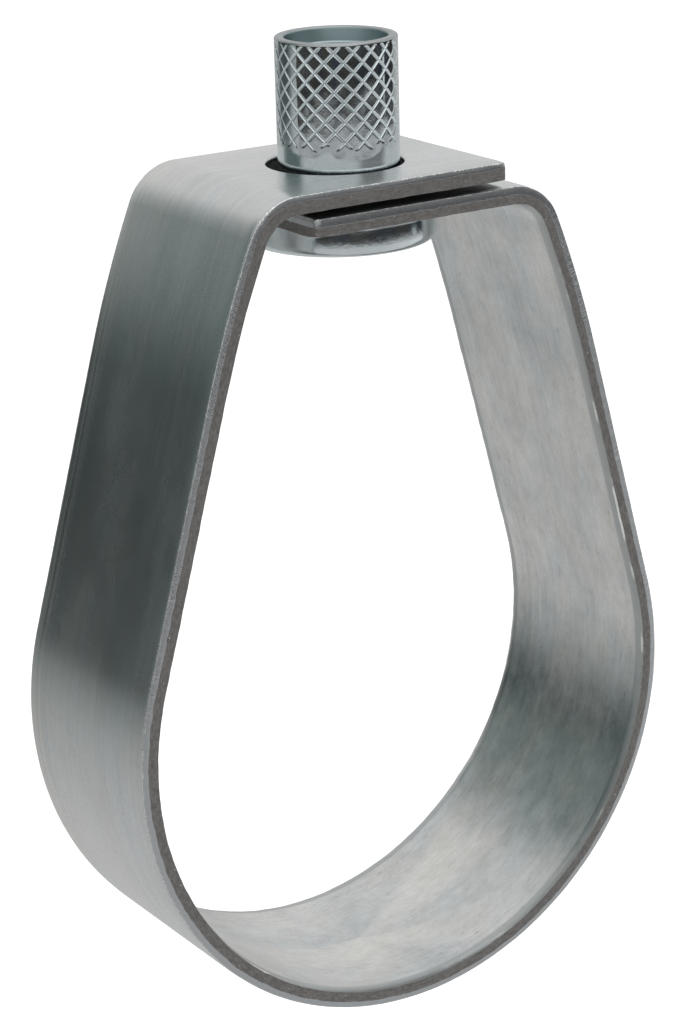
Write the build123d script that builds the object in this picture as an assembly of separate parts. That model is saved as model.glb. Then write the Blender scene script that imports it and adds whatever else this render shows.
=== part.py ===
from build123d import *
import os
from math import cos, pi, radians, sin, tan

# Swivel ring hanger for a horizontal pipe: a folded steel strap and the threaded nut it turns on.
# The origin is the centre of the pipe seat at the middle of the strap's width, +Y runs along the
# pipe and +Z points up along the threaded rod. Lengths are millimetres and angles degrees.

# Strip that the strap is folded from
strap_width = 29.2
strap_thickness = 2.5
edge_break = 0.45
plate_corner_radius = 1.0

# Ring: a round seat under the pipe, then a flank and a straight leg that leans in on each side
ring_radius = 37.3
seat_half_angle = 55.0
upper_side_flank_radius = 39.2
tail_side_flank_radius = 37.6
upper_side_lean = 15.9
tail_side_lean = 15.1

# Shoulders: a slow curve at the top of each leg, then the tight fold into the flat plate
shoulder_radius = 147.0
shoulder_sweep = 7.3
fold_radius = 5.0

# Plates: the left leg ends in the upper plate, the right leg in the tail plate under it
tail_underside_height = 64.5
plate_gap = 0.7
upper_plate_reach = 15.4
tail_plate_reach = 13.1
upper_hole_offset = -0.6

# Swivel nut
nut_radius = 7.65
nut_height = 25.45
flange_radius = 12.3
flange_thickness = 3.95
flange_top_bevel = 0.9
flange_foot_bevel = 1.15
flange_draft = 4.0
rim_chamfer = 0.3
mouth_radius = 6.45
mouth_depth = 2.0
thread_radius = 4.8
thread_lead_in = 0.8

# Diamond knurl: crossed grooves with a V section, both ways round the upper sleeve
knurl_height = 12.75
knurl_top_margin = 0.45
knurl_depth = 0.24
knurl_half_width = 0.28
knurl_starts = 20
knurl_angle = 45.0

# Fits
upper_hole_clearance = 0.98
tail_hole_clearance = 0.35
flange_play = 0.15
hole_edge_break = 0.3

# Lengths that differ by less than this are taken as equal when edges and faces are picked
same_length = 0.001


def rise(radius, heading, new_heading):
    """Height gained by an arc that turns from one heading to another, in degrees above level."""
    return radius * (cos(radians(heading)) - cos(radians(new_heading)))


def face_line(flank_radius, leg_lean, underside, reach, out):
    """One side of the strap from the seat's bottom to the plate's end, this far out of its inner face."""
    leg_heading = 90 + leg_lean
    shoulder_heading = leg_heading + shoulder_sweep
    seat = JernArc((0, -ring_radius - out), (1, 0), ring_radius + out, seat_half_angle)
    flank = JernArc(seat @ 1, seat % 1, flank_radius + out, leg_heading - seat_half_angle)
    shoulder_rise = rise(shoulder_radius + out, leg_heading, shoulder_heading)
    fold_rise = rise(fold_radius + out, shoulder_heading, 180)
    leg_rise = underside + out - (flank @ 1).Y - shoulder_rise - fold_rise
    leg = Line(flank @ 1, (flank @ 1) + (flank % 1) * (leg_rise / (flank % 1).Y))
    shoulder = JernArc(leg @ 1, leg % 1, shoulder_radius + out, shoulder_sweep)
    fold = JernArc(shoulder @ 1, shoulder % 1, fold_radius + out, 180 - shoulder_heading)
    plate = Line(fold @ 1, (-reach, underside + out))
    return Curve() + [seat, flank, leg, shoulder, fold, plate]


def side_profile(flank_radius, leg_lean, underside, reach):
    """Section of one side of the strap, with its leg on the right."""
    inner = face_line(flank_radius, leg_lean, underside, reach, 0)
    outer = face_line(flank_radius, leg_lean, underside, reach, strap_thickness)
    bottom = Line(inner @ 0, outer @ 0)
    end = Line(inner @ 1, outer @ 1)
    return make_face(inner.edges() + outer.edges() + [bottom, end])


def is_end_corner(face):
    """Whether this is one of the round faces at the four corners of the cut ends."""
    return face.geom_type == GeomType.CYLINDER and abs(face.radius - plate_corner_radius) < same_length


def broad_face_edges(strip):
    """Edges where the broad faces meet the slit sides, the cut ends and the ends' round corners."""
    narrow_faces = strip.faces().filter_by(Axis.Y) + strip.faces().filter_by(Axis.X)
    narrow_faces += strip.faces().filter_by(is_end_corner)
    return ShapeList(edge for face in narrow_faces for edge in face.edges()).filter_by(Axis.Z, reverse=True)


def make_strap():
    """The folded strip with its two plates holed for the nut."""
    tail_side = side_profile(tail_side_flank_radius, tail_side_lean, tail_underside_height, tail_plate_reach)
    upper_side = side_profile(upper_side_flank_radius, upper_side_lean, upper_underside_height, upper_plate_reach)
    upper_side = mirror(upper_side, about=Plane.YZ)
    strip = extrude(Plane.XZ * (tail_side + upper_side), amount=strap_width / 2, both=True)
    upright = strip.edges().filter_by(Axis.Z)
    strip = fillet(upright.filter_by(lambda edge: abs(edge.length - strap_thickness) < same_length), plate_corner_radius)
    strip = chamfer(broad_face_edges(strip), edge_break)
    for underside, offset_x, radius in (
        (tail_underside_height, 0, tail_hole_radius),
        (upper_underside_height, upper_hole_offset, upper_hole_radius),
    ):
        centre = Pos(offset_x, 0, underside + strap_thickness / 2)
        strip -= centre * Cylinder(radius, strap_thickness + plate_gap)
        circles = strip.edges().filter_by(GeomType.CIRCLE)
        strip = chamfer(circles.filter_by(lambda edge: abs(edge.radius - radius) < same_length), hole_edge_break)
    return strip


def nut_body():
    """The turned nut before knurling: flange, sleeve, mouth and thread bore, revolved about the rod."""
    mouth_floor = nut_top_height - mouth_depth
    lead_in_radius = thread_radius + thread_lead_in
    flange_side = flange_thickness - flange_foot_bevel - flange_top_bevel
    flange_top_radius = flange_radius - flange_side * tan(radians(flange_draft))
    corners = [
        (thread_radius, nut_foot_height + thread_lead_in),
        (lead_in_radius, nut_foot_height),
        (flange_radius - flange_foot_bevel, nut_foot_height),
        (flange_radius, nut_foot_height + flange_foot_bevel),
        (flange_top_radius, flange_top_height - flange_top_bevel),
        (flange_top_radius - flange_top_bevel, flange_top_height),
        (nut_radius, flange_top_height),
        (nut_radius, nut_top_height - rim_chamfer),
        (nut_radius - rim_chamfer, nut_top_height),
        (mouth_radius + rim_chamfer, nut_top_height),
        (mouth_radius, nut_top_height - rim_chamfer),
        (mouth_radius, mouth_floor),
        (lead_in_radius, mouth_floor),
        (thread_radius, mouth_floor - thread_lead_in),
    ]
    section = make_face(Polyline(*corners, close=True).edges())
    return revolve(Plane.XZ * section, Axis.Z)


def knurl_groove():
    """One right-hand groove of the knurl, a V cut that climbs the sleeve."""
    lead = 2 * pi * nut_radius / tan(radians(knurl_angle))
    foot = nut_top_height - knurl_top_margin - knurl_height
    path = Helix(lead, knurl_height, nut_radius, center=(0, 0, foot))
    flare = 2 * knurl_half_width
    section = Polygon((-knurl_depth, 0), (knurl_depth, flare), (knurl_depth, -flare), align=None)
    across = Plane(origin=path @ 0, x_dir=(1, 0, 0), z_dir=path % 0)
    return sweep(across * section, path=path, is_frenet=True)


def make_nut():
    """The threaded nut with its flange under the tail plate and its knurl above the upper plate."""
    right_hand = knurl_groove()
    left_hand = mirror(right_hand, about=Plane.XZ)
    nut = nut_body()
    for groove in (right_hand, left_hand):
        nut -= [Rot(Z=360 * start / knurl_starts) * groove for start in range(knurl_starts)]
    return nut


upper_underside_height = tail_underside_height + strap_thickness + plate_gap
tail_hole_radius = nut_radius + tail_hole_clearance
upper_hole_radius = nut_radius + upper_hole_clearance
flange_top_height = tail_underside_height - flange_play
nut_foot_height = flange_top_height - flange_thickness
nut_top_height = nut_foot_height + nut_height

os.makedirs("parts", exist_ok=True)
export_step(make_strap(), "parts/ring_strap.step")
export_step(make_nut(), "parts/swivel_nut.step")
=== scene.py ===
from math import ceil, cos, pi, radians, sin, sqrt, tan

import bmesh
import bpy
import numpy as np
from mathutils import Matrix, Vector


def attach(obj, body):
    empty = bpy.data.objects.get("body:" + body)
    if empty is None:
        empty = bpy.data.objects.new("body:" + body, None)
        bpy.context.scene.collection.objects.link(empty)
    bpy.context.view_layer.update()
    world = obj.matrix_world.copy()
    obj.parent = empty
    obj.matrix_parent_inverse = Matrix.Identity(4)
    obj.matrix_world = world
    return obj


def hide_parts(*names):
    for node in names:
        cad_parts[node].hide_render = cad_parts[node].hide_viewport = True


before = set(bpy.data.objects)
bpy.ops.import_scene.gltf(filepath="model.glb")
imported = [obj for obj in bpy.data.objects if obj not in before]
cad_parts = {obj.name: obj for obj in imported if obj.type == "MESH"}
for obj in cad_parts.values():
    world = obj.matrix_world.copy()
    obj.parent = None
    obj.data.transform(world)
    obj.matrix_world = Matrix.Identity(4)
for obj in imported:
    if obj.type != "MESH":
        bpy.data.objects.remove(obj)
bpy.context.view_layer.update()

# Swivel ring hanger: a skin for the folded strap, one for the knurled nut, and the thread in the nut's bore.
# Lengths are millimetres until a mesh is made, and MM turns them into metres. Angles are degrees.
MM = 0.001

# Strap, with the sizes of the solid that its skin stands for
STRAP_WIDTH = 29.2
STRAP_THICKNESS = 2.5
PLATE_CORNER_RADIUS = 1.0
RING_RADIUS = 37.3
SEAT_HALF_ANGLE = 55.0
UPPER_FLANK_RADIUS = 39.2
TAIL_FLANK_RADIUS = 37.6
UPPER_LEAN = 15.9
TAIL_LEAN = 15.1
SHOULDER_RADIUS = 147.0
SHOULDER_SWEEP = 7.3
FOLD_RADIUS = 5.0
TAIL_UNDERSIDE = 64.5
PLATE_GAP = 0.7
UPPER_REACH = 15.4
TAIL_REACH = 13.1
UPPER_HOLE_OFFSET = -0.6
HALF_WIDTH = STRAP_WIDTH / 2
TAIL_TOP = TAIL_UNDERSIDE + STRAP_THICKNESS
UPPER_UNDERSIDE = TAIL_TOP + PLATE_GAP

# Nut, with the sizes of its solid
NUT_RADIUS = 7.65
NUT_HEIGHT = 25.45
FLANGE_RADIUS = 12.3
FLANGE_THICKNESS = 3.95
FLANGE_PLAY = 0.15
MOUTH_RADIUS = 6.45
MOUTH_DEPTH = 2.0
THREAD_RADIUS = 4.8
THREAD_LEAD_IN = 0.8
KNURL_HEIGHT = 12.75
KNURL_TOP_MARGIN = 0.45
KNURL_STARTS = 20
KNURL_ANGLE = 45.0
TAIL_HOLE_CLEARANCE = 0.35
UPPER_HOLE_CLEARANCE = 0.98
FLANGE_TOP = TAIL_UNDERSIDE - FLANGE_PLAY
NUT_FOOT = FLANGE_TOP - FLANGE_THICKNESS
NUT_TOP = NUT_FOOT + NUT_HEIGHT

# Slit sides of the strap: a rollover inside, the sheared face, then a smooth band that leans in
ROLLOVER_ACROSS = 1.4
ROLLOVER_OUT = 0.26
ROLLOVER_SWING = 0.22
ROLLOVER_SEED = 3
ROLLOVER_LENGTHS = (2.3, 3.7, 6.1, 11.0, 23.0)
BAND_START = 1.56
BAND_START_SWING = 0.14
BAND_SLOPE = 0.0012
BAND_DEPTH = 0.16
BAND_DEPTH_SWING = 0.25
BAND_SEED = 4
BAND_LENGTHS = (1.9, 4.3, 7.7, 13.0, 31.0)
BAND_EDGE_ACROSS = 0.22
BAND_EDGE_OUT = 0.12
FACE_DROP_ACROSS = 1.5
FACE_DROP = 0.06

# Cut ends of the strap and the edges of its holes: the ends draw in at both faces and both slit sides, and
# their corners take this share of the corner radius
END_ROUND = 0.45
END_ROUND_OUTER = 0.85
END_ROUND_INNER = 0.15
END_NARROWING = 0.2
CORNER_SHARE = 0.8
HOLE_EDGE_ROUND = 0.35

# Finer forms of the nut
FLANGE_DRAFT = 5.0
FLANGE_TOP_ROUND = 0.6
FLANGE_FOOT_ROUND = 1.3
FLANGE_ROOT_ROUND = 0.25
FOOT_BORE_ROUND = 0.15
RIM_ROUND = 0.3
MOUTH_FLOOR_ROUND = 0.25
LEAD_IN_ROUND = 0.12
KNURL_DEPTH = 0.14
KNURL_FADE_IN = 0.7
KNURL_FADE_OUT = 0.15
KNURL_FOOT_SPREAD = 0.9
KNURL_SEED = 11

# Thread of the rod, with its crest and root as shares of the pitch on each side of the ridge's middle
THREAD_PITCH = 1.5875
THREAD_CREST_RADIUS = 4.0
THREAD_CREST_SHARE = 0.0625
THREAD_ROOT_SHARE = 0.46
THREAD_SINK = 0.06

# Camera: the direction that it looks in and how far down, its roll, its place from the object's origin along
# its own axes, and its focal length in pixels of the photograph's frame
CAMERA_AZIMUTH = 33.119
CAMERA_ELEVATION = 18.441
CAMERA_ROLL = -1.462
CAMERA_ACROSS = -1.307
CAMERA_UP = 22.735
CAMERA_DISTANCE = 377.937
CAMERA_NEAR = 10.0
CAMERA_FAR = 50000.0
FOCAL_PIXELS = 2856.0
IMAGE_HEIGHT = 1024
SENSOR_HEIGHT = 36.0


# Mesh helpers

def mesh_object(name, points, faces):
    """A mesh object from points in millimetres."""
    mesh = bpy.data.meshes.new(name)
    mesh.from_pydata((np.asarray(points) * MM).tolist(), [], faces)
    mesh.update()
    piece = bpy.data.objects.new(name, mesh)
    bpy.context.scene.collection.objects.link(piece)
    return piece


def loops_to_faces(loop_count, loop_length, closed):
    """Quads between loops of equal length that follow each other, round to the first one if closed."""
    faces = []
    for i in range(loop_count if closed else loop_count - 1):
        low, high = i * loop_length, (i + 1) % loop_count * loop_length
        for j in range(loop_length):
            k = (j + 1) % loop_length
            faces.append((low + j, low + k, high + k, high + j))
    return faces


def revolve_point(radius, height, angle):
    """The point at this height and this angle, in radians, round the nut's axis."""
    return (radius * cos(angle), radius * sin(angle), height)


def fix_direction(piece):
    """Points every face outwards."""
    shape = bmesh.new()
    shape.from_mesh(piece.data)
    bmesh.ops.recalc_face_normals(shape, faces=shape.faces)
    shape.to_mesh(piece.data)
    shape.free()


def apply_modifiers(piece):
    """Turns the piece's modifiers into its mesh."""
    depsgraph = bpy.context.evaluated_depsgraph_get()
    mesh = bpy.data.meshes.new_from_object(piece.evaluated_get(depsgraph))
    piece.modifiers.clear()
    piece.data = mesh


def smooth(piece, sharp_angle):
    """Smooth shading that leaves edges above this angle sharp and keeps flat faces flat."""
    piece.data.shade_smooth()
    piece.data.set_sharp_from_angle(angle=radians(sharp_angle))
    weighted = piece.modifiers.new("weighted", "WEIGHTED_NORMAL")
    weighted.keep_sharp = True
    return piece


# Strap skin

# Spacing of its stations: degrees along arcs, then millimetres along lines and before a cut end
ARC_STEP = 1.2
LINE_STEP = 0.6
END_MARGIN = 1.2
END_STEPS = (1.0, 0.7, 0.45, 0.28, 0.13, 0.035, 0.0)

# Steps of its roundings and holes
ROLLOVER_STEPS = 6
QUARTER_STEPS = 3
FACE_DROP_STEPS = 4
HOLE_STEPS = 96

# Where a hole's cutter ends, out from the hole and clear of the plate, as shares of the edge's rounding
CUTTER_OUT = 2.0
CUTTER_CLEAR = 0.35

# A face is a cut one when it looks less than this share along the strip's outward direction
CUT_FACING = 0.6

# How many points are compared with the stations at a time
POINTS_AT_A_TIME = 4000
STRAP_SHARP_ANGLE = 35


def rise(radius, heading, new_heading):
    """Height gained by an arc that turns from one heading to another."""
    return radius * (cos(radians(heading)) - cos(radians(new_heading)))


def reach_of(radius, heading, new_heading):
    """Distance along X gained by an arc that turns from one heading to another."""
    return radius * (sin(radians(new_heading)) - sin(radians(heading)))


def side_pieces(flank_radius, lean, underside, plate_reach):
    """One side of the inner face, from the seat to the plate's end, as (radius or length, turn) pieces."""
    leg_heading = 90 + lean
    fold_heading = leg_heading + SHOULDER_SWEEP
    arcs = (
        (RING_RADIUS, 0, SEAT_HALF_ANGLE),
        (flank_radius, SEAT_HALF_ANGLE, leg_heading),
        (SHOULDER_RADIUS, leg_heading, fold_heading),
        (FOLD_RADIUS, fold_heading, 180),
    )
    height = -RING_RADIUS + sum(rise(*arc) for arc in arcs)
    leg = (underside - height) / sin(radians(leg_heading))
    across = sum(reach_of(*arc) for arc in arcs) + leg * cos(radians(leg_heading))
    pieces = [(radius, end - start) for radius, start, end in arcs]
    pieces.insert(2, (leg, 0))
    pieces.append((across + plate_reach, 0))
    return pieces


def side_stations(pieces):
    """Rows of x, z, heading and distance along one side of the inner face, with its leg on the right."""
    x, z, heading, run = 0.0, -RING_RADIUS, 0.0, 0.0
    rows = [(x, z, heading, run)]
    for number, (size, turn) in enumerate(pieces):
        if turn:
            count = ceil(turn / ARC_STEP)
            for _ in range(count):
                new_heading = heading + turn / count
                x += reach_of(size, heading, new_heading)
                z += rise(size, heading, new_heading)
                run += size * radians(turn / count)
                heading = new_heading
                rows.append((x, z, heading, run))
            continue
        stops = np.linspace(0, size, ceil(size / LINE_STEP) + 1)[1:]
        if number == len(pieces) - 1:
            stops = [stop for stop in stops if stop < size - END_MARGIN]
            stops += [size - step for step in END_STEPS]
        for stop in stops:
            ahead = (x + stop * cos(radians(heading)), z + stop * sin(radians(heading)))
            rows.append((*ahead, heading, run + stop))
        x, z, run = rows[-1][0], rows[-1][1], rows[-1][3]
    return np.array(rows)


def strap_stations():
    """The whole inner face, from the tail plate's end round the seat to the upper plate's end."""
    tail = side_stations(side_pieces(TAIL_FLANK_RADIUS, TAIL_LEAN, TAIL_UNDERSIDE, TAIL_REACH))
    upper = side_stations(side_pieces(UPPER_FLANK_RADIUS, UPPER_LEAN, UPPER_UNDERSIDE, UPPER_REACH))
    tail = tail[::-1] * (1, 1, 1, -1)
    return np.concatenate([tail, upper[1:] * (-1, 1, -1, 1)])


def wave(run, seed, lengths):
    """A smooth wavy value between -1 and 1 along the strip."""
    rng = np.random.default_rng(seed)
    parts = [np.sin(2 * pi * run / length + rng.uniform(0, 2 * pi)) for length in lengths]
    return sum(parts) / len(parts)


def side_outline(rollover, band_start, band_depth):
    """One slit side from the inner face to the outer one, as distances in from the slit and out.

    A shallow rollover leads to the sheared face, and a smooth leaning band leads on to the outer face.
    """
    shares = [step / ROLLOVER_STEPS for step in range(ROLLOVER_STEPS + 1)]
    outline = [(ROLLOVER_ACROSS * rollover * (1 - a), ROLLOVER_OUT * rollover * a**2) for a in shares]
    outline += [(0.0, (ROLLOVER_OUT + band_start) / 2), (0.0, band_start)]
    edge = STRAP_THICKNESS - FACE_DROP - BAND_EDGE_OUT
    outline.append((band_depth / 2, (band_start + edge) / 2))
    for step in range(QUARTER_STEPS + 1):
        angle = pi / 2 * step / QUARTER_STEPS
        outline.append((band_depth + BAND_EDGE_ACROSS * (1 - cos(angle)), edge + BAND_EDGE_OUT * sin(angle)))
    start = band_depth + BAND_EDGE_ACROSS
    for step in range(1, FACE_DROP_STEPS + 1):
        share = step / FACE_DROP_STEPS
        outline.append((start + FACE_DROP_ACROSS * share, STRAP_THICKNESS - FACE_DROP * (1 - share) ** 2))
    return outline


def end_section(to_end):
    """Inner side, outer side and half width of the strip this far from its nearer cut end."""
    in_corner = max(0.0, PLATE_CORNER_RADIUS - to_end)
    narrow = PLATE_CORNER_RADIUS - sqrt(max(0.0, PLATE_CORNER_RADIUS**2 - in_corner**2))
    in_round = max(0.0, END_ROUND - to_end) / END_ROUND
    closing = 1 - sqrt(1 - in_round**2)
    low = END_ROUND_INNER * closing
    high = STRAP_THICKNESS - END_ROUND_OUTER * closing
    half = HALF_WIDTH - CORNER_SHARE * narrow - END_NARROWING * closing
    return low, high, half


def strap_skin():
    """The folded strip with its slit sides and cut ends, before its holes are cut."""
    stations = strap_stations()
    run = stations[:, 3]
    roll_wave = wave(run, ROLLOVER_SEED, ROLLOVER_LENGTHS)
    band_wave = wave(run, BAND_SEED, BAND_LENGTHS)
    points = []
    for index, (x, z, heading, at) in enumerate(stations):
        low, high, half = end_section(min(at - run[0], run[-1] - at))
        side = side_outline(
            1 + ROLLOVER_SWING * roll_wave[index],
            BAND_START + BAND_SLOPE * at + BAND_START_SWING * band_wave[index],
            BAND_DEPTH * (1 + BAND_DEPTH_SWING * band_wave[index]),
        )
        loop = [(half - inside, out) for inside, out in side]
        loop += [(inside - half, out) for inside, out in side[::-1]]
        outward = (sin(radians(heading)), -cos(radians(heading)))
        for across, out in loop:
            depth = low + (high - low) * out / STRAP_THICKNESS
            points.append((x + outward[0] * depth, across, z + outward[1] * depth))
    length = len(loop)
    last = (len(stations) - 1) * length
    faces = loops_to_faces(len(stations), length, closed=False)
    faces.append(tuple(range(length)))
    faces.append(tuple(range(last + length - 1, last - 1, -1)))
    return mesh_object("strap_skin", points, faces)


def hole_cutter(radius, offset_x, underside):
    """A spool that cuts a hole with rounded rims through the plate that starts at this height."""
    top = underside + STRAP_THICKNESS
    arc = [pi / 2 * step / QUARTER_STEPS for step in range(QUARTER_STEPS)]
    rim = [(radius + HOLE_EDGE_ROUND * (1 - cos(a)), HOLE_EDGE_ROUND * (1 - sin(a))) for a in arc]
    rim.append((radius + CUTTER_OUT * HOLE_EDGE_ROUND, -CUTTER_CLEAR * HOLE_EDGE_ROUND))
    profile = [(r, underside + depth) for r, depth in rim[::-1]]
    profile += [(r, top - depth) for r, depth in rim]
    points = []
    for r, z in profile:
        for step in range(HOLE_STEPS):
            x, y, height = revolve_point(r, z, 2 * pi * step / HOLE_STEPS)
            points.append((x + offset_x, y, height))
    last = (len(profile) - 1) * HOLE_STEPS
    faces = loops_to_faces(len(profile), HOLE_STEPS, closed=False)
    faces.append(tuple(range(HOLE_STEPS - 1, -1, -1)))
    faces.append(tuple(range(last, last + HOLE_STEPS)))
    return mesh_object("cutter", points, faces)


def store_strip_places(piece):
    """Stores each point's place on the flat strip in millimetres, and which faces are cut ones."""
    stations = strap_stations()
    heading = np.radians(stations[:, 2])
    outward = np.stack([np.sin(heading), -np.cos(heading)], 1)
    ahead = np.stack([np.cos(heading), np.sin(heading)], 1)
    middle = stations[:, :2] + outward * STRAP_THICKNESS / 2
    mesh = piece.data
    count = len(mesh.vertices)
    places = np.empty(count * 3)
    mesh.vertices.foreach_get("co", places)
    places = places.reshape(-1, 3) / MM
    flat = places[:, (0, 2)]
    nearest = np.empty(count, int)
    for start in range(0, count, POINTS_AT_A_TIME):
        some = slice(start, start + POINTS_AT_A_TIME)
        apart = flat[some, None, :] - middle[None, :, :]
        nearest[some] = (apart**2).sum(2).argmin(1)
    offset = flat - stations[nearest, :2]
    out = (offset * outward[nearest]).sum(1)
    along = stations[nearest, 3] - (offset * ahead[nearest]).sum(1)
    strip = mesh.attributes.new("strip", "FLOAT_VECTOR", "POINT")
    strip.data.foreach_set("vector", np.stack([along, places[:, 1], out], 1).astype(np.float32).ravel())
    cut = mesh.attributes.new("cut", "FLOAT", "CORNER")
    values = np.zeros(len(mesh.loops), np.float32)
    for face in mesh.polygons:
        way = outward[nearest[face.vertices[0]]]
        facing = face.normal.x * way[0] + face.normal.z * way[1]
        values[list(face.loop_indices)] = float(abs(facing) < CUT_FACING)
    cut.data.foreach_set("value", values)


def build_strap():
    """The strap's skin with its two holes."""
    piece = strap_skin()
    fix_direction(piece)
    cutters = (
        hole_cutter(NUT_RADIUS + TAIL_HOLE_CLEARANCE, 0, TAIL_UNDERSIDE),
        hole_cutter(NUT_RADIUS + UPPER_HOLE_CLEARANCE, UPPER_HOLE_OFFSET, UPPER_UNDERSIDE),
    )
    for cutter in cutters:
        fix_direction(cutter)
        cut = piece.modifiers.new("hole", "BOOLEAN")
        cut.operation = "DIFFERENCE"
        cut.solver = "EXACT"
        cut.object = cutter
    apply_modifiers(piece)
    for cutter in cutters:
        bpy.data.objects.remove(cutter)
    store_strip_places(piece)
    return smooth(piece, STRAP_SHARP_ANGLE)


# Nut skin

# Steps round the nut from groove to groove and across half a groove, and the power that flares its sides
CELL_STEPS = 18
GROOVE_STEPS = 2
GROOVE_FLARE = 2.6
NUT_STEPS = KNURL_STARTS * CELL_STEPS
KNURL_ROW = 2 * pi * NUT_RADIUS / NUT_STEPS / tan(radians(KNURL_ANGLE))
KNURL_FOOT = NUT_TOP - KNURL_TOP_MARGIN - KNURL_HEIGHT
LOWER_ROUND_STEPS = 8
UPPER_ROUND_STEPS = 5
NUT_SHARP_ANGLE = 48
THREAD_TURN_STEPS = 72
THREAD_SHARP_ANGLE = 25


def rounded_outline(corners, steps):
    """Points of an open outline whose corners are (radius, height, rounding)."""
    points = []
    for index, (r, z, rounding) in enumerate(corners):
        here = Vector((r, z))
        if not rounding:
            points.append((r, z))
            continue
        before = (Vector(corners[index - 1][:2]) - here).normalized()
        after = (Vector(corners[index + 1][:2]) - here).normalized()
        half_angle = before.angle(after) / 2
        centre = here + (before + after).normalized() * rounding / sin(half_angle)
        first = here + before * rounding / tan(half_angle) - centre
        last = here + after * rounding / tan(half_angle) - centre
        sweep = first.angle(last)
        for step in range(steps + 1):
            share = step / steps
            spoke = (first * sin((1 - share) * sweep) + last * sin(share * sweep)) / sin(sweep)
            points.append(tuple(centre + spoke))
    return points


def nut_outlines():
    """The nut's outline below its knurl, from the bore outwards, and above it, back into the bore."""
    mouth_floor = NUT_TOP - MOUTH_DEPTH
    lead_in = THREAD_RADIUS + THREAD_LEAD_IN
    flange_top_radius = FLANGE_RADIUS - (FLANGE_THICKNESS - FLANGE_FOOT_ROUND) * tan(radians(FLANGE_DRAFT))
    lower = [
        (THREAD_RADIUS, NUT_FOOT + THREAD_LEAD_IN, 0),
        (lead_in, NUT_FOOT, FOOT_BORE_ROUND),
        (FLANGE_RADIUS, NUT_FOOT, FLANGE_FOOT_ROUND),
        (flange_top_radius, FLANGE_TOP, FLANGE_TOP_ROUND),
        (NUT_RADIUS, FLANGE_TOP, FLANGE_ROOT_ROUND),
        (NUT_RADIUS, KNURL_FOOT, 0),
    ]
    upper = [
        (NUT_RADIUS, NUT_TOP - KNURL_TOP_MARGIN, 0),
        (NUT_RADIUS, NUT_TOP, RIM_ROUND),
        (MOUTH_RADIUS, NUT_TOP, RIM_ROUND),
        (MOUTH_RADIUS, mouth_floor, MOUTH_FLOOR_ROUND),
        (lead_in, mouth_floor, LEAD_IN_ROUND),
        (THREAD_RADIUS, mouth_floor - THREAD_LEAD_IN, 0),
    ]
    return rounded_outline(lower, LOWER_ROUND_STEPS), rounded_outline(upper, UPPER_ROUND_STEPS)


def groove_depth(step, row, ends):
    """Depth of the knurl at a place given in steps round the nut and rows up it."""
    height = row * KNURL_ROW
    depth = 0.0
    for hand, direction in enumerate((-1, 1)):
        turn = (step + direction * row) / CELL_STEPS
        number = round(turn)
        aside = abs(turn - number) * CELL_STEPS
        fade_in = (height - ends[hand, number % KNURL_STARTS]) / KNURL_FADE_IN
        fade_out = (KNURL_HEIGHT - height) / KNURL_FADE_OUT
        strength = min(1.0, max(0.0, fade_in)) * min(1.0, max(0.0, fade_out))
        depth = max(depth, strength * KNURL_DEPTH * max(0.0, 1 - aside / GROOVE_STEPS) ** GROOVE_FLARE)
    return depth


def build_nut():
    """The nut as one closed skin: bore, foot, flange, sleeve, knurl, rim and mouth."""
    lower, upper = nut_outlines()
    ends = np.random.default_rng(KNURL_SEED).uniform(0.0, KNURL_FOOT_SPREAD, (2, KNURL_STARTS))
    rows = int(KNURL_HEIGHT / KNURL_ROW)
    turn = 2 * pi / NUT_STEPS

    def knurl_point(step, row):
        radius = NUT_RADIUS - groove_depth(step, row, ends)
        return revolve_point(radius, KNURL_FOOT + row * KNURL_ROW, step * turn)

    points = [revolve_point(r, z, step * turn) for r, z in lower for step in range(NUT_STEPS)]
    points += [knurl_point(step, row) for row in range(1, rows + 1) for step in range(NUT_STEPS)]
    points += [revolve_point(r, z, step * turn) for r, z in upper for step in range(NUT_STEPS)]
    loop_count = len(lower) + rows + len(upper)
    first_knurl_loop = len(lower) - 1
    faces = []
    for number, face in enumerate(loops_to_faces(loop_count, NUT_STEPS, closed=True)):
        loop, step = divmod(number, NUT_STEPS)
        row = loop - first_knurl_loop
        if 0 <= row < rows:
            centre = len(points)
            points.append(knurl_point(step + 0.5, row + 0.5))
            faces += [(face[i], face[(i + 1) % 4], centre) for i in range(4)]
        else:
            faces.append(face)
    piece = mesh_object("nut_skin", points, faces)
    fix_direction(piece)
    return smooth(piece, NUT_SHARP_ANGLE)


def build_thread():
    """The ridge of the rod's thread, wound up the bore and run out at both ends."""
    low = NUT_FOOT + THREAD_LEAD_IN
    high = NUT_TOP - MOUTH_DEPTH - THREAD_LEAD_IN
    count = int((high - low - THREAD_PITCH) / THREAD_PITCH * THREAD_TURN_STEPS)
    run_out = THREAD_TURN_STEPS / 2
    crest_half = THREAD_PITCH * THREAD_CREST_SHARE
    root_half = THREAD_PITCH * THREAD_ROOT_SHARE
    root = THREAD_RADIUS + THREAD_SINK
    points = []
    for step in range(count + 1):
        angle = 2 * pi * step / THREAD_TURN_STEPS
        z = low + THREAD_PITCH / 2 + THREAD_PITCH * step / THREAD_TURN_STEPS
        strength = min(1.0, step / run_out, (count - step) / run_out)
        crest = THREAD_RADIUS - (THREAD_RADIUS - THREAD_CREST_RADIUS) * strength
        for r, dz in ((root, -root_half), (crest, -crest_half), (crest, crest_half), (root, root_half)):
            points.append(revolve_point(r, z + dz, angle))
    faces = loops_to_faces(count + 1, 4, closed=False)
    faces += [(3, 2, 1, 0), tuple(4 * count + i for i in range(4))]
    piece = mesh_object("rod_thread", points, faces)
    fix_direction(piece)
    return smooth(piece, THREAD_SHARP_ANGLE)


# Materials

# Most of a noise node's values lie between these two
NOISE_LOW = 0.3
NOISE_HIGH = 0.7


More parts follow.
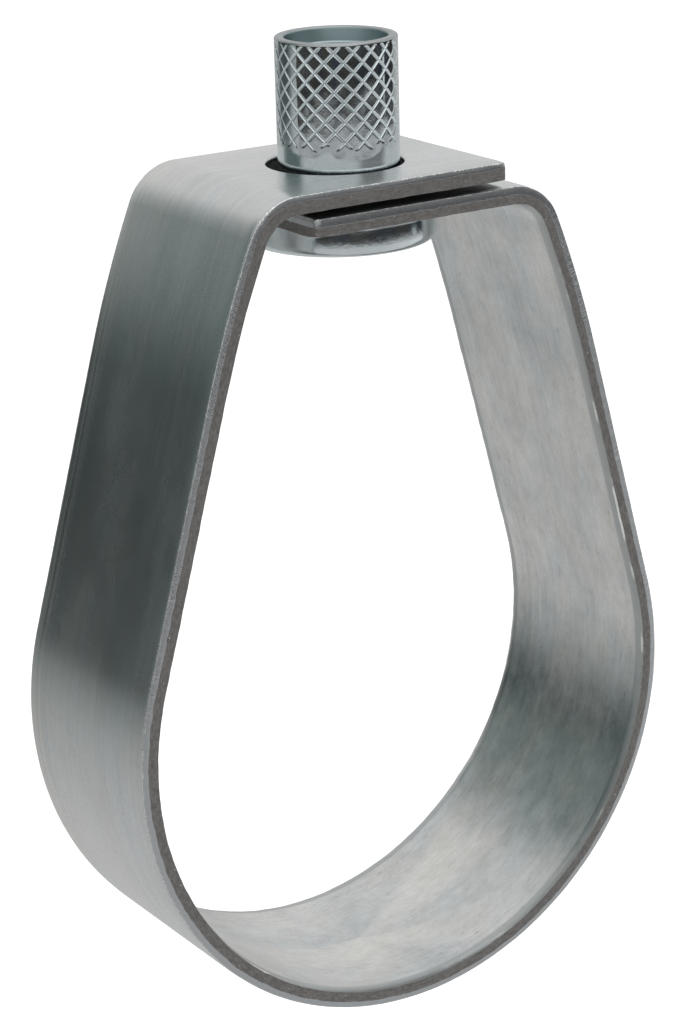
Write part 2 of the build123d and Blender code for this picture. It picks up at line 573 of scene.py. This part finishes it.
class Graph:
    """A node material that is built one call at a time."""

    def __init__(self, name):
        self.material = bpy.data.materials.new(name)
        self.material.use_nodes = True
        self.tree = self.material.node_tree
        self.shader = self.tree.nodes["Principled BSDF"]

    def put(self, value, socket):
        """Links a socket's value to this socket, or sets a plain value on it."""
        if isinstance(value, bpy.types.NodeSocket):
            self.tree.links.new(value, socket)
        else:
            socket.default_value = value

    def add(self, kind, inputs, **settings):
        """A node of this kind with these inputs, by name or number, and these settings."""
        made = self.tree.nodes.new(kind)
        for key, value in settings.items():
            setattr(made, key, value)
        for key, value in inputs.items():
            self.put(value, made.inputs[key])
        return made

    def math(self, operation, a, b=0.0, clamp=False):
        """The result of one operation on two values."""
        return self.add("ShaderNodeMath", {0: a, 1: b}, operation=operation, use_clamp=clamp).outputs[0]

    def total(self, first, *others):
        """The sum of all these values."""
        for other in others:
            first = self.math("ADD", first, other)
        return first

    def product(self, first, *others):
        """The product of all these values."""
        for other in others:
            first = self.math("MULTIPLY", first, other)
        return first

    def place(self):
        """The point's place in the object, in metres."""
        return self.add("ShaderNodeTexCoord", {}).outputs["Object"]

    def split(self, vector):
        """The three parts of a vector."""
        return self.add("ShaderNodeSeparateXYZ", {0: vector}).outputs

    def stretch(self, vector, factors):
        """The vector with its three parts multiplied by these factors."""
        return self.add("ShaderNodeVectorMath", {0: vector, 1: factors}, operation="MULTIPLY").outputs[0]

    def noise(self, vector, detail=2.0, roughness=0.5, scale=1.0):
        """A cloudy value about 0.5."""
        inputs = {"Vector": vector, "Scale": scale, "Detail": detail, "Roughness": roughness}
        return self.add("ShaderNodeTexNoise", inputs).outputs["Fac"]

    def remap(self, value, low, high, to_low=0.0, to_high=1.0):
        """A soft step from one value to another as the first value goes from low to high."""
        inputs = {"Value": value, "From Min": low, "From Max": high, "To Min": to_low, "To Max": to_high}
        made = self.add("ShaderNodeMapRange", inputs, clamp=True, interpolation_type="SMOOTHSTEP")
        return made.outputs[0]

    def swing(self, noise, low, high):
        """A noise spread over this range."""
        return self.remap(noise, NOISE_LOW, NOISE_HIGH, low, high)

    def blend(self, factor, a, b):
        """Colour a where the factor is 0 and colour b where it is 1."""
        return self.add("ShaderNodeMix", {0: factor, 6: a, 7: b}, data_type="RGBA").outputs[2]

    def bump(self, height, depth, normal=None):
        """Relief of this depth in millimetres, on top of another relief if one is given."""
        inputs = {"Height": height, "Distance": depth * MM, "Strength": 1.0}
        if normal:
            inputs["Normal"] = normal
        return self.add("ShaderNodeBump", inputs).outputs[0]

    def end_in(self, surface):
        """Makes this shader the material's surface."""
        self.tree.links.new(surface, self.tree.nodes["Material Output"].inputs["Surface"])

    def glow(self, solid, colour):
        """Ends the material in an even glow that is as solid as this factor."""
        light = self.add("ShaderNodeEmission", {"Color": colour}).outputs[0]
        clear = self.add("ShaderNodeBsdfTransparent", {}).outputs[0]
        self.end_in(self.add("ShaderNodeMixShader", {0: solid, 1: clear, 2: light}).outputs[0])

    def set(self, **inputs):
        """Sets or links the main shader's sockets, with an underscore for each space in their names."""
        for key, value in inputs.items():
            self.put(value, self.shader.inputs[key.replace("_", " ")])


def grey(value, tint=(1.0, 1.0, 1.0)):
    """An opaque grey of this linear value, tinted by three factors."""
    return (value * tint[0], value * tint[1], value * tint[2], 1.0)


# Noises on the strip: waves per millimetre along, across and out of it, then detail and roughness
STRAP_NOISES = {
    "cloud": ((0.05, 0.10, 0.3), 3.0, 0.55),
    "patch": ((0.075, 0.13, 0.3), 4.0, 0.6),
    "mottle": ((0.36, 0.60, 1.0), 7.0, 0.74),
    "streak": ((0.012, 1.7, 0.5), 3.0, 0.7),
    "fine": ((1.4, 2.6, 1.0), 3.0, 0.7),
    "mark": ((0.45, 1.3, 1.0), 5.0, 0.7),
    "tint": ((0.05, 0.10, 1.0), 4.0, 0.6),
    "wander": ((0.35, 0.0, 0.0), 3.0, 0.6),
    "worn_glint": ((0.06, 0.1, 0.1), 4.0, 0.7),
    "dent": ((2.2, 1.0, 1.0), 3.0, 0.75),
    "grain": ((1.6, 1.6, 3.2), 4.0, 0.7),
    "speck": ((2.6, 2.6, 2.6), 1.0, 0.4),
}

# Brightness of the strap's broad faces, as a share of the way from their dark colour to their bright one
TONE_MIDDLE = 0.54
INSIDE_LIFT = 0.06

# Noises that swing the brightness: how low, how high, and whether on the inner face alone
TONE_SWINGS = (
    ("cloud", -0.08, 0.08, False),
    ("streak", -0.055, 0.055, False),
    ("mottle", -0.13, 0.11, True),
    ("patch", -0.13, 0.13, True),
    ("fine", -0.05, 0.05, False),
)

# The values of a noise between which its marks start and are full
MARK_RANGE = (0.60, 0.68)
TINT_RANGE = (0.38, 0.62)
WEAR_RANGE = (0.36, 0.60)
GLINT_RANGE = (0.49, 0.60)
WORN_GLINT_RANGE = (0.52, 0.60)
SPECK_RANGE = (0.72, 0.78)

# How far in from the slit side a zone starts and is full
MARK_ZONE = (8.0, 3.0)
WEAR_ZONE = (4.5, 1.0)
ROLLOVER_ZONE = (1.6, 1.1)
OUTER_EDGE_ZONE = (0.50, 0.38)
INNER_EDGE_ZONE = (0.40, 0.25)

# Distances out from the inner face between which a zone grows, and how far the band's start wanders
OUTER_EDGE_OUT = (STRAP_THICKNESS - 0.32, STRAP_THICKNESS - 0.20)
INNER_EDGE_OUT = (0.36, 0.28)
INSIDE_OUT = (STRAP_THICKNESS * 0.6, STRAP_THICKNESS * 0.3)
BAND_OUT = (BAND_START - 0.02, BAND_START + 0.06)
BAND_WANDER = 0.08

# Heights between which the outer edge's painted glints grow, and their strength below
GLINT_HEIGHTS = (52.0, 66.0)
LOW_GLINT = 0.30

# Where the painted shade in the gap starts and is full: at the tail plate's top and the upper plate's
# underside, and along X at the upper plate's end and the tail plate's end
GAP_LOW = (TAIL_TOP - 0.1, TAIL_TOP)
GAP_HIGH = (UPPER_UNDERSIDE + 0.1, UPPER_UNDERSIDE)
GAP_RIGHT = (UPPER_REACH - 0.2, UPPER_REACH - 1.0)
GAP_LEFT = (-TAIL_REACH - 0.4, -TAIL_REACH - 0.1)

# Strength of each zone, the share of it that the marks keep in the strip's middle, and the share of the warm
# tint that the outer face has
MARK_STRENGTH = 0.42
MARK_MIDDLE_SHARE = 0.5
OUTSIDE_WARMTH = 0.5
WEAR_STRENGTH = 0.60
ROLLOVER_STRENGTH = 0.8
BAND_STRENGTH = 0.85

# Colours of the strap
COOL_DARK = grey(0.38, (0.93, 0.99, 1.0))
COOL_BRIGHT = grey(0.84, (0.97, 1.0, 1.0))
WARM_DARK = grey(0.38, (1.0, 0.98, 0.92))
WARM_BRIGHT = grey(0.84, (1.0, 0.995, 0.97))
WORN_CREAM = grey(0.78, (1.0, 0.965, 0.89))
ROLLOVER_GREY = grey(0.42, (0.95, 1.0, 1.0))
BAND_GREY = grey(0.42, (0.96, 1.0, 1.04))
# Painted highlight for the glints along the slit sides' edges, partly edge wear
GLINT_AND_WEAR_WHITE = grey(0.90, (0.98, 1.0, 0.98))
# Painted shade for the faces in the gap between the plates
GAP_SHADE_GREY = grey(0.22)
SHEARED_DARK = grey(0.15, (1.0, 0.95, 0.90))
SHEARED_BRIGHT = grey(0.24, (1.0, 0.97, 0.93))
SPECK_WHITE = grey(0.6, (1.0, 0.99, 0.96))

# Roughness of the strap, what its zones add to it or take off, and the depths of its relief
STRAP_ROUGHNESS = (0.25, 0.29)
INSIDE_ROUGHER = (0.01, 0.07)
WEAR_ROUGHER = 0.07
SHEARED_ROUGHER = 0.22
GLINT_SMOOTHER = 0.10
SHEARED_METALLIC = 0.65
STREAK_RELIEF = 0.0008
MOTTLE_RELIEF = 0.008
GRAIN_RELIEF = 0.05
DENT_RELIEF = 0.07


def gap_shade_mask(g):
    """Painted shade: 1 on the faces that look into the gap, as far as the two plates lie over each other."""
    x, _, height = g.split(g.place())
    zones = ((height, GAP_LOW), (height, GAP_HIGH), (x, GAP_RIGHT), (x, GAP_LEFT))
    return g.product(*[g.remap(value, start * MM, full * MM) for value, (start, full) in zones])


def slit_zone(g, across, zone, low=0.0, high=1.0):
    """A value that goes from low to high between these distances in from the slit side."""
    return g.remap(across, HALF_WIDTH - zone[0], HALF_WIDTH - zone[1], low, high)


def broad_colour(g, noises, inside, from_middle):
    """Colour of the broad faces: cloudy and streaked, and mottled and marked on the inner face."""
    swings = []
    for name, low, high, only_inside in TONE_SWINGS:
        swing = g.swing(noises[name], low, high)
        swings.append(g.product(swing, inside) if only_inside else swing)
    marks = g.remap(noises["mark"], *MARK_RANGE, 0.0, MARK_STRENGTH)
    marks = g.product(marks, slit_zone(g, from_middle, MARK_ZONE, MARK_MIDDLE_SHARE, 1.0))
    tone = g.math("SUBTRACT", g.total(*swings), g.product(marks, inside))
    tone = g.total(tone, g.product(inside, INSIDE_LIFT))
    share = g.math("ADD", tone, TONE_MIDDLE, clamp=True)
    warmth = g.product(g.remap(noises["tint"], *TINT_RANGE), g.remap(inside, 0.0, 1.0, OUTSIDE_WARMTH, 1.0))
    return g.blend(warmth, g.blend(share, COOL_DARK, COOL_BRIGHT), g.blend(share, WARM_DARK, WARM_BRIGHT))


def painted_glint_and_wear_masks(g, noises, out, from_middle):
    """The outer edge of the slit sides, and the places along both of their edges painted bright as glints,
    partly as edge wear.
    """
    height = g.split(g.place())["Z"]
    outer_edge = g.product(slit_zone(g, from_middle, OUTER_EDGE_ZONE), g.remap(out, *OUTER_EDGE_OUT))
    inner_edge = g.product(g.remap(out, *INNER_EDGE_OUT), slit_zone(g, from_middle, INNER_EDGE_ZONE))
    foot, top = GLINT_HEIGHTS
    outer = g.product(
        outer_edge,
        g.remap(noises["dent"], *GLINT_RANGE),
        g.remap(height, foot * MM, top * MM, LOW_GLINT, 1.0),
    )
    inner = g.product(inner_edge, g.remap(noises["worn_glint"], *WORN_GLINT_RANGE))
    return outer_edge, g.math("ADD", outer, inner, clamp=True)


def sheared_colour(g, noises):
    """Colour of the sheared face and the cut ends: matt warm grey grain with a few bright specks."""
    colour = g.blend(g.remap(noises["grain"], NOISE_LOW, NOISE_HIGH), SHEARED_DARK, SHEARED_BRIGHT)
    return g.blend(g.remap(noises["speck"], *SPECK_RANGE), colour, SPECK_WHITE)


def strap_material():
    """Smooth galvanised steel with lengthwise rolling marks, edges painted bright as glints and partly as
    wear, painted shade in the gap between the plates, and matt sheared faces.
    """
    g = Graph("galvanised_strap")
    strip = g.add("ShaderNodeAttribute", {}, attribute_name="strip").outputs["Vector"]
    cut = g.add("ShaderNodeAttribute", {}, attribute_name="cut").outputs["Fac"]
    noises = {}
    for name, (waves, detail, roughness) in STRAP_NOISES.items():
        noises[name] = g.noise(g.stretch(strip, waves), detail, roughness)
    along, across, out = g.split(strip)
    from_middle = g.math("ABSOLUTE", across)
    inside = g.remap(out, *INSIDE_OUT)
    gap_shade = gap_shade_mask(g)

    wear = g.product(slit_zone(g, across, WEAR_ZONE), g.remap(noises["streak"], *WEAR_RANGE))
    wear = g.product(wear, g.math("SUBTRACT", 1.0, inside))
    rollover = g.product(slit_zone(g, from_middle, ROLLOVER_ZONE), inside, g.remap(cut, 1.0, 0.0))
    above_start = g.math("SUBTRACT", out, g.product(along, BAND_SLOPE))
    above_start = g.total(above_start, g.swing(noises["wander"], -BAND_WANDER, BAND_WANDER))
    band = g.product(cut, g.remap(above_start, *BAND_OUT))
    sheared = g.math("SUBTRACT", cut, band)
    outer_edge, painted_glints_and_wear = painted_glint_and_wear_masks(g, noises, out, from_middle)

    colour = broad_colour(g, noises, inside, from_middle)
    colour = g.blend(g.product(wear, WEAR_STRENGTH), colour, WORN_CREAM)
    colour = g.blend(g.product(rollover, ROLLOVER_STRENGTH), colour, ROLLOVER_GREY)
    colour = g.blend(g.product(band, BAND_STRENGTH), colour, BAND_GREY)
    # Painted glints along the edges, partly edge wear
    colour = g.blend(painted_glints_and_wear, colour, GLINT_AND_WEAR_WHITE)
    # Painted shade on the faces in the gap between the plates
    colour = g.blend(gap_shade, colour, GAP_SHADE_GREY)
    colour = g.blend(sheared, colour, sheared_colour(g, noises))

    rough = g.total(
        g.swing(noises["cloud"], *STRAP_ROUGHNESS),
        g.product(g.swing(noises["mottle"], *INSIDE_ROUGHER), inside),
        g.product(wear, WEAR_ROUGHER),
        g.product(g.math("MAXIMUM", sheared, gap_shade), SHEARED_ROUGHER),
    )
    rough = g.math("SUBTRACT", rough, g.product(painted_glints_and_wear, GLINT_SMOOTHER))
    normal = g.bump(noises["streak"], STREAK_RELIEF)
    normal = g.bump(g.product(noises["mottle"], inside), MOTTLE_RELIEF, normal)
    normal = g.bump(g.product(noises["grain"], sheared), GRAIN_RELIEF, normal)
    normal = g.bump(g.product(noises["dent"], g.math("MAXIMUM", band, outer_edge)), DENT_RELIEF, normal)
    metallic = g.remap(sheared, 0.0, 1.0, 1.0, SHEARED_METALLIC)
    g.set(Base_Color=colour, Metallic=metallic, Roughness=rough, Normal=normal)
    return g.material


# Colours of the nut
NUT_DARK = grey(0.62, (0.90, 1.0, 1.03))
NUT_BRIGHT = grey(0.76, (0.93, 1.0, 1.02))
RIM_GREY = grey(0.30, (0.96, 1.0, 1.0))
# Painted teal shade inside the mouth and the bore
MOUTH_SHADE_TEAL = grey(0.44, (0.80, 1.0, 1.03))
RIM_STRENGTH = 0.8
MOUTH_SHADE_STRENGTH = 0.85
CLOUD_TONE = (0.3, 0.7)
FINE_TONE = (-0.08, 0.08)

# Zones of the nut: where the rim and the flange start and are full in height, and the mouth in radius
RIM_ZONE = (NUT_TOP - 0.30, NUT_TOP - 0.18)
FLANGE_ZONE = (FLANGE_TOP + 0.4, FLANGE_TOP)
MOUTH_ZONE = (MOUTH_RADIUS + 0.12, MOUTH_RADIUS + 0.02)

# Noises on the nut, in waves per metre
CLOUD_WAVES = 180.0
FINE_WAVES = 1400.0
DENT_WAVES = 900.0
PLATING_WAVES = (520.0, 520.0, 260.0)
TURNING_WAVES = (60.0, 60.0, 7000.0)

# Roughness of the nut, what its zones add to it, and the depths of its relief
NUT_ROUGHNESS = (0.06, 0.10)
RIM_ROUGHER = 0.32
MOUTH_ROUGHER = 0.22
FLANGE_ROUGHER = 0.04
PLATING_RELIEF = 0.03
FLANGE_DENT_RELIEF = 0.015
FINE_RELIEF = 0.002
TURNING_RELIEF = 0.0004


def nut_material():
    """Bright zinc plating with faint waves, fine turning rings, a duller rim, and a duller mouth and bore
    with painted teal shade.
    """
    g = Graph("zinc_nut")
    place = g.place()
    height = g.split(place)["Z"]
    level_place = g.stretch(place, (1.0, 1.0, 0.0))
    from_axis = g.add("ShaderNodeVectorMath", {0: level_place}, operation="LENGTH").outputs["Value"]
    zones = ((height, RIM_ZONE), (from_axis, MOUTH_ZONE), (height, FLANGE_ZONE))
    rim, mouth, flange = [g.remap(value, start * MM, full * MM) for value, (start, full) in zones]
    cloud = g.noise(place, detail=3.0, roughness=0.6, scale=CLOUD_WAVES)
    fine = g.noise(place, detail=3.0, roughness=0.6, scale=FINE_WAVES)
    dents = g.noise(place, detail=4.0, roughness=0.7, scale=DENT_WAVES)
    plating = g.noise(g.stretch(place, PLATING_WAVES), detail=1.5)
    turning = g.noise(g.stretch(place, TURNING_WAVES), detail=2.0)

    tone = g.total(g.swing(cloud, *CLOUD_TONE), g.swing(fine, *FINE_TONE))
    colour = g.blend(tone, NUT_DARK, NUT_BRIGHT)
    colour = g.blend(g.product(rim, RIM_STRENGTH), colour, RIM_GREY)
    # Painted shade inside the mouth and the bore
    colour = g.blend(g.product(mouth, MOUTH_SHADE_STRENGTH), colour, MOUTH_SHADE_TEAL)
    rough = g.total(
        g.swing(cloud, *NUT_ROUGHNESS),
        g.product(rim, RIM_ROUGHER),
        g.product(mouth, MOUTH_ROUGHER),
        g.product(flange, FLANGE_ROUGHER),
    )
    normal = g.bump(plating, PLATING_RELIEF)
    normal = g.bump(g.product(dents, flange), FLANGE_DENT_RELIEF, normal)
    normal = g.bump(fine, FINE_RELIEF, normal)
    normal = g.bump(turning, TURNING_RELIEF, normal)
    g.set(Base_Color=colour, Metallic=1.0, Roughness=rough, Normal=normal)
    return g.material


def paint(piece, material):
    """Gives the piece this material alone."""
    piece.data.materials.clear()
    piece.data.materials.append(material)


strap = build_strap()
nut = build_nut()
thread = build_thread()
zinc = nut_material()
paint(strap, strap_material())
paint(nut, zinc)
paint(thread, zinc)
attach(strap, "strap")
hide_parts("ring_strap")
for piece in (nut, thread):
    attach(piece, "nut")
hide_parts("swivel_nut")


# Camera

azimuth = radians(CAMERA_AZIMUTH)
elevation = radians(CAMERA_ELEVATION)
roll = radians(CAMERA_ROLL)
back = Vector((-sin(azimuth) * cos(elevation), -cos(azimuth) * cos(elevation), sin(elevation)))
level_right = Vector((cos(azimuth), -sin(azimuth), 0))
level_up = back.cross(level_right)
right = cos(roll) * level_right + sin(roll) * level_up
up = cos(roll) * level_up - sin(roll) * level_right
camera_place = (CAMERA_ACROSS * right + CAMERA_UP * up + CAMERA_DISTANCE * back) * MM
lens = bpy.data.cameras.new("camera")
lens.sensor_fit = "VERTICAL"
lens.sensor_height = SENSOR_HEIGHT
lens.lens = FOCAL_PIXELS * SENSOR_HEIGHT / IMAGE_HEIGHT
lens.clip_start = CAMERA_NEAR * MM
lens.clip_end = CAMERA_FAR * MM
camera = bpy.data.objects.new("camera", lens)
camera.matrix_world = Matrix.Translation(camera_place) @ Matrix((right, up, back)).transposed().to_4x4()
bpy.context.scene.collection.objects.link(camera)
bpy.context.scene.camera = camera


# Floor, world, lamps and cards

FLOOR_HEIGHT = -150.0
FLOOR_SIZE = 9000.0
FLOOR_GREY = grey(0.58)
FLOOR_LIFT = 0.62

# Strength of the world's light, and how bright it looks to the camera
WORLD_LIGHT = 0.79
WORLD_SEEN = 1.0

# Cards round the object: compass direction (0 is +Y and 90 is +X), elevation, distance, how many degrees
# they take up across and upwards, glow, and the shares of their size over which side, foot and top fade
CARDS = {
    "card_low": (-30, -2, 1150, 56, 25, grey(0.020, (0.80, 1.1, 1.1)), (0.32, 0.48, 0.36)),
    "card_high": (-49, 16, 1250, 62, 64, grey(0.19, (0.82, 1.07, 1.05)), (0.30, 0.3, 0.19)),
    "card_above": (213, 52, 1150, 34, 26, grey(1.2), (0.3, 0.3, 0.3)),
    "card_side": (147, 19, 1250, 70, 36, grey(0.24), (0.3, 0.1, 0.35)),
    "card_glint": (117, -5, 1150, 6, 3, grey(1.0, (0.92, 1.0, 0.95)), (0.3, 0.3, 0.3)),
}

# The card that lies on the floor and stands for a table top in the reflections
TABLE_COMPASS = -36
TABLE_NEAR = 200
TABLE_FAR = 1400
TABLE_WIDTH = 1200
TABLE_LIFT = 1
TABLE_GREY = grey(0.27, (0.93, 1.03, 1.02))
TABLE_FADES = (0.35, 0.5, 0.02)

# The dark room: a curved wall that is solid up to one height and gone at another
ROOM_COMPASS = (85, 293)
ROOM_RADIUS = 1190.0
ROOM_SOLID_HEIGHT = 10
ROOM_TOP = 220
ROOM_STEPS = 40
ROOM_COLD = grey(0.030, (0.8, 1.0, 1.35))
ROOM_WARM = grey(0.034, (1.1, 1.0, 0.85))
ROOM_PATCH_WAVES = 3.0
ROOM_PATCH_RANGE = (0.4, 0.6)

# Lamps: place, width and watts, and the point that they look at
LAMP_ABOVE = ((150, -250, 1100), 1500, 4.5)
LAMP_RIGHT = ((900, -200, 400), 500, 3.0)
LAMP_TARGET = (0, 0, 20)


def flat_card(name, width, height, centre, facing):
    """A rectangle in millimetres whose front looks along facing."""
    normal = Vector(facing).normalized()
    side = Vector((0, 0, 1)).cross(normal)
    side = side.normalized() if side.length > 0.01 else Vector((1, 0, 0))
    upward = normal.cross(side)
    middle = Vector(centre)
    points = []
    for a, b in ((-1, -1), (1, -1), (1, 1), (-1, 1)):
        points.append(tuple(middle + side * (a * width / 2) + upward * (b * height / 2)))
    piece = mesh_object(name, points, [(0, 1, 2, 3)])
    return piece


def floor_material():
    """Pale floor that reads as white in the open and keeps the object's shadow."""
    g = Graph("floor")
    diffuse = g.add("ShaderNodeBsdfDiffuse", {"Color": FLOOR_GREY}).outputs[0]
    seen = g.add("ShaderNodeLightPath", {}).outputs["Is Camera Ray"]
    glow = g.add("ShaderNodeEmission", {"Strength": g.product(seen, FLOOR_LIFT)}).outputs[0]
    g.end_in(g.add("ShaderNodeAddShader", {0: diffuse, 1: glow}).outputs[0])
    return g.material


def card_material(name, colour, fades):
    """An even glow that fades out towards a card's sides, foot and top over these shares of its size."""
    side, foot, top = fades
    g = Graph(name)
    x, y, _ = g.split(g.add("ShaderNodeTexCoord", {}).outputs["UV"])
    off_middle = g.math("ABSOLUTE", g.math("SUBTRACT", x, 0.5))
    across = g.remap(off_middle, 0.5, 0.5 - side)
    rising = g.math("DIVIDE", y, foot, clamp=True)
    falling = g.remap(y, 1.0, 1.0 - top)
    g.glow(g.product(rising, falling, across), colour)
    return g.material


def only_in_reflections(piece):
    """Keeps a card out of the camera's view and out of the shadows."""
    piece.visible_camera = False
    piece.visible_shadow = False
    piece.visible_diffuse = False


def finish_card(piece, name, colour, fades):
    """Gives a card its glow, with its corners' places for the fades, and keeps it to the reflections."""
    layer = piece.data.uv_layers.new(name="card")
    for corner, place_uv in zip(layer.uv, ((0, 0), (1, 0), (1, 1), (0, 1))):
        corner.vector = place_uv
    paint(piece, card_material(name, colour, fades))
    only_in_reflections(piece)


def card(name, compass, elevation_angle, away, width_angle, height_angle, colour, fades):
    """A soft-edged card that faces the object from this direction."""
    a, e = radians(compass), radians(elevation_angle)
    direction = Vector((sin(a) * cos(e), cos(a) * cos(e), sin(e)))
    width, height = [2 * away * tan(radians(angle / 2)) for angle in (width_angle, height_angle)]
    finish_card(flat_card(name, width, height, direction * away, -direction), name, colour, fades)


def table_card(name):
    """A soft-edged card that lies on the floor and widens away from the object."""
    a = radians(TABLE_COMPASS)
    ahead, side = Vector((sin(a), cos(a), 0)), Vector((cos(a), -sin(a), 0))
    lift = Vector((0, 0, FLOOR_HEIGHT + TABLE_LIFT))
    corners = [ahead * TABLE_NEAR - side * TABLE_WIDTH / 4, ahead * TABLE_NEAR + side * TABLE_WIDTH / 4]
    corners += [ahead * TABLE_FAR + side * TABLE_WIDTH / 2, ahead * TABLE_FAR - side * TABLE_WIDTH / 2]
    piece = mesh_object(name, [tuple(corner + lift) for corner in corners], [(0, 1, 2, 3)])
    finish_card(piece, name, TABLE_GREY, TABLE_FADES)


def dark_room(name):
    """The dark room behind the camera: a curved wall that stands on the floor and fades out upwards."""
    first, last = ROOM_COMPASS
    points = []
    for height in (FLOOR_HEIGHT, ROOM_SOLID_HEIGHT, ROOM_TOP):
        for step in range(ROOM_STEPS + 1):
            a = radians(first + (last - first) * step / ROOM_STEPS)
            points.append((ROOM_RADIUS * sin(a), ROOM_RADIUS * cos(a), height))
    row = ROOM_STEPS + 1
    faces = []
    for low in range(2):
        for step in range(ROOM_STEPS):
            corner = low * row + step
            faces.append((corner, corner + 1, corner + row + 1, corner + row))
    piece = mesh_object(name, points, faces)
    g = Graph(name)
    place = g.place()
    solid = g.remap(g.split(place)["Z"], ROOM_TOP * MM, ROOM_SOLID_HEIGHT * MM)
    hue = g.remap(g.noise(place, detail=1.0, scale=ROOM_PATCH_WAVES), *ROOM_PATCH_RANGE)
    g.glow(solid, g.blend(hue, ROOM_COLD, ROOM_WARM))
    paint(piece, g.material)
    only_in_reflections(piece)


def softbox(name, place, size, watts):
    """A square area lamp that looks at the object."""
    lamp = bpy.data.lights.new(name, "AREA")
    lamp.size = size * MM
    lamp.energy = watts
    piece = bpy.data.objects.new(name, lamp)
    piece.location = Vector(place) * MM
    towards = Vector(LAMP_TARGET) * MM - piece.location
    piece.rotation_euler = towards.to_track_quat("-Z", "Y").to_euler()
    bpy.context.scene.collection.objects.link(piece)
    return piece


def light_world():
    """An even white world that looks white to the camera and lights the object at a plain level."""
    world = bpy.data.worlds.new("world")
    bpy.context.scene.world = world
    world.use_nodes = True
    tree = world.node_tree
    background = tree.nodes["Background"]
    path = tree.nodes.new("ShaderNodeLightPath")
    level = tree.nodes.new("ShaderNodeMapRange")
    level.inputs["To Min"].default_value = WORLD_LIGHT
    level.inputs["To Max"].default_value = WORLD_SEEN
    tree.links.new(path.outputs["Is Camera Ray"], level.inputs["Value"])
    tree.links.new(level.outputs[0], background.inputs["Strength"])
    background.inputs["Color"].default_value = grey(1.0)


floor = flat_card("floor", FLOOR_SIZE, FLOOR_SIZE, (0, 0, FLOOR_HEIGHT), (0, 0, 1))
paint(floor, floor_material())
for card_name, values in CARDS.items():
    card(card_name, *values)
table_card("card_table")
dark_room("dark_room")
light_world()
softbox("lamp_above", *LAMP_ABOVE)
softbox("lamp_right", *LAMP_RIGHT).visible_glossy = False

scene = bpy.context.scene
scene.view_settings.view_transform = "Standard"
